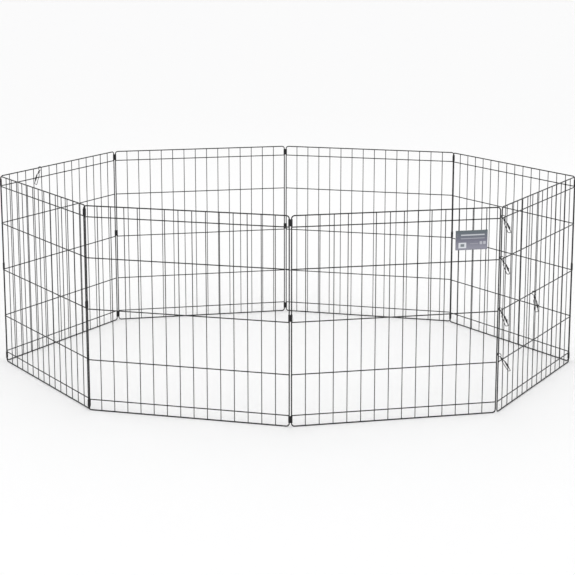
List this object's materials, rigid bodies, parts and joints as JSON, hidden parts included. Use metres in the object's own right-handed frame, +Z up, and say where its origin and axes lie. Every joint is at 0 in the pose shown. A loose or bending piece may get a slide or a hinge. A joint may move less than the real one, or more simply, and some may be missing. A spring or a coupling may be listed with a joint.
{
  "type": "pet playpen",
  "caption": "Folding wire pet playpen: square wire panels hinged by sheet-metal clips into a standing ring, with an opening corner and spring snaps to close it.",
  "frame": {"origin": "on the floor at the middle of the ring, the centre of the bounding box's bottom", "axes": "+Z up, +X along the ring's longest side, -Y towards the side with the opening corner and the card"},
  "size_m": [1.8272, 1.3386, 0.6123],
  "materials": {
    "coated_wire": "semi-gloss black coating on welded steel wire",
    "clip_steel": "satin black coating on bent sheet steel",
    "snap_steel": "gloss black coating on small steel parts",
    "spring_steel": "dark spring steel",
    "printed_card": "coated card with a plain printed pattern",
    "staple_steel": "bright wire"
  },
  "bodies": {
    "panel_1": {"panel_1_frame": "coated_wire", "panel_1_cross_wires": "coated_wire", "panel_1_uprights": "coated_wire", "hinge_clips_1_2": "clip_steel"},
    "panel_2": {"panel_2_frame": "coated_wire", "panel_2_cross_wires": "coated_wire", "panel_2_uprights": "coated_wire", "hinge_clips_2_3": "clip_steel"},
    "panel_3": {"panel_3_frame": "coated_wire", "panel_3_cross_wires": "coated_wire", "panel_3_uprights": "coated_wire", "hinge_clips_3_4": "clip_steel"},
    "panel_4": {"panel_4_frame": "coated_wire", "panel_4_cross_wires": "coated_wire", "panel_4_uprights": "coated_wire", "hinge_clips_4_5": "clip_steel"},
    "panel_5": {"panel_5_frame": "coated_wire", "panel_5_cross_wires": "coated_wire", "panel_5_uprights": "coated_wire", "hinge_clips_5_6": "clip_steel"},
    "panel_6": {"panel_6_frame": "coated_wire", "panel_6_cross_wires": "coated_wire", "panel_6_uprights": "coated_wire", "hinge_clips_6_7": "clip_steel"},
    "panel_7": {"panel_7_frame": "coated_wire", "panel_7_cross_wires": "coated_wire", "panel_7_uprights": "coated_wire", "hinge_clips_7_8": "clip_steel"},
    "panel_8": {"panel_8_frame": "coated_wire", "panel_8_cross_wires": "coated_wire", "panel_8_uprights": "coated_wire", "label_card": "printed_card", "label_staples": "staple_steel"},
    "snap_1": {"snap_1_wire": "snap_steel", "snap_1_ferrule": "snap_steel", "snap_1_spring": "spring_steel"},
    "snap_1_bolt": {"snap_1_bolt": "snap_steel"},
    "snap_2": {"snap_2_wire": "snap_steel", "snap_2_ferrule": "snap_steel", "snap_2_spring": "spring_steel"},
    "snap_2_bolt": {"snap_2_bolt": "snap_steel"},
    "snap_3": {"snap_3_wire": "snap_steel", "snap_3_ferrule": "snap_steel", "snap_3_spring": "spring_steel"},
    "snap_3_bolt": {"snap_3_bolt": "snap_steel"},
    "snap_4": {"snap_4_wire": "snap_steel", "snap_4_ferrule": "snap_steel", "snap_4_spring": "spring_steel"},
    "snap_4_bolt": {"snap_4_bolt": "snap_steel"},
    "snap_5": {"snap_5_wire": "snap_steel", "snap_5_ferrule": "snap_steel", "snap_5_spring": "spring_steel"},
    "snap_5_bolt": {"snap_5_bolt": "snap_steel"},
    "snap_6": {"snap_6_wire": "snap_steel", "snap_6_ferrule": "snap_steel", "snap_6_spring": "spring_steel"},
    "snap_6_bolt": {"snap_6_bolt": "snap_steel"}
  },
  "joints": [
    {"name": "fold", "type": "hinge", "parent": "panel_4", "child": "panel_5", "pos_m": [-0.6122, 0.53136, 0], "axis": [0, 0, -1], "range_deg": [0, 148]},
    {"name": "panel_6_swing", "type": "hinge", "parent": "panel_5", "child": "panel_6", "pos_m": [-0.91057, -0.00302, 0], "axis": [0, 0, 1], "range_deg": [0, 109]},
    {"name": "panel_7_swing", "type": "hinge", "parent": "panel_6", "child": "panel_7", "pos_m": [-0.57882, -0.51459, 0], "axis": [0, 0, 1], "range_deg": [-214, 0]},
    {"name": "gate", "type": "hinge", "parent": "panel_7", "child": "panel_8", "pos_m": [0.01486, -0.66654, 0], "axis": [0, 0, 1], "range_deg": [-140, 141]},
    {"name": "panel_3_swing", "type": "hinge", "parent": "panel_4", "child": "panel_3", "pos_m": [-0.01486, 0.66654, 0], "axis": [0, 0, -1], "range_deg": [0, 141]},
    {"name": "panel_2_swing", "type": "hinge", "parent": "panel_3", "child": "panel_2", "pos_m": [0.57882, 0.51459, 0], "axis": [0, 0, -1], "range_deg": [-214, 0]},
    {"name": "panel_1_swing", "type": "hinge", "parent": "panel_2", "child": "panel_1", "pos_m": [0.91057, 0.00302, 0], "axis": [0, 0, -1], "range_deg": [0, 109]},
    {"name": "snap_1_swing", "type": "hinge", "parent": "panel_1", "child": "snap_1", "pos_m": [0.61511, -0.5303, 0.5796], "axis": [-0.9511, -0.309, 0], "range_deg": [0, 35]},
    {"name": "snap_1_bolt_slide", "type": "slide", "parent": "snap_1", "child": "snap_1_bolt", "axis": [-0.2367, 0.7286, 0.6428], "range_m": [0, 0.006], "stiffness_N_per_m": 200, "springref_m": -0.003, "deforming": ["snap_1_spring"]},
    {"name": "snap_2_swing", "type": "hinge", "parent": "panel_1", "child": "snap_2", "pos_m": [0.61511, -0.5303, 0.4599], "axis": [-0.9511, -0.309, 0], "range_deg": [0, 35]},
    {"name": "snap_2_bolt_slide", "type": "slide", "parent": "snap_2", "child": "snap_2_bolt", "axis": [-0.2367, 0.7286, 0.6428], "range_m": [0, 0.006], "stiffness_N_per_m": 200, "springref_m": -0.003, "deforming": ["snap_2_spring"]},
    {"name": "snap_3_swing", "type": "hinge", "parent": "panel_1", "child": "snap_3", "pos_m": [0.61511, -0.5303, 0.3083], "axis": [-0.9511, -0.309, 0], "range_deg": [0, 35]},
    {"name": "snap_3_bolt_slide", "type": "slide", "parent": "snap_3", "child": "snap_3_bolt", "axis": [-0.2367, 0.7286, 0.6428], "range_m": [0, 0.006], "stiffness_N_per_m": 200, "springref_m": -0.003, "deforming": ["snap_3_spring"]},
    {"name": "snap_4_swing", "type": "hinge", "parent": "panel_1", "child": "snap_4", "pos_m": [0.61488, -0.52981, 0.1734], "axis": [-0.8192, -0.5736, 0], "range_deg": [0, 35]},
    {"name": "snap_4_bolt_slide", "type": "slide", "parent": "snap_4", "child": "snap_4_bolt", "axis": [-0.4394, 0.6275, 0.6428], "range_m": [0, 0.006], "stiffness_N_per_m": 200, "springref_m": -0.003, "deforming": ["snap_4_spring"]},
    {"name": "snap_5_swing", "type": "hinge", "parent": "panel_5", "child": "snap_5", "pos_m": [-0.81324, 0.17602, 0.6082], "axis": [0.4924, 0.8704, 0], "range_deg": [0, 40]},
    {"name": "snap_5_bolt_slide", "type": "slide", "parent": "snap_5", "child": "snap_5_bolt", "axis": [0.2977, -0.1684, 0.9397], "range_m": [0, 0.006], "stiffness_N_per_m": 200, "springref_m": -0.003, "deforming": ["snap_5_spring"]},
    {"name": "snap_6_swing", "type": "hinge", "parent": "panel_1", "child": "snap_6", "pos_m": [0.74463, -0.29973, 0.305], "axis": [-0.4924, -0.8704, 0], "range_deg": [0, 60]},
    {"name": "snap_6_bolt_slide", "type": "slide", "parent": "snap_6", "child": "snap_6_bolt", "axis": [-0.1661, 0.094, 0.9816], "range_m": [0, 0.006], "stiffness_N_per_m": 200, "springref_m": -0.003, "deforming": ["snap_6_spring"]}
  ],
  "couplings": [
    {"joint": "panel_6_swing", "follows": "fold", "ratio": 0.73649},
    {"joint": "panel_7_swing", "follows": "fold", "ratio": -1.4459},
    {"joint": "panel_3_swing", "follows": "fold", "ratio": 0.9527},
    {"joint": "panel_2_swing", "follows": "fold", "ratio": -1.4459},
    {"joint": "panel_1_swing", "follows": "fold", "ratio": 0.73649}
  ]
}
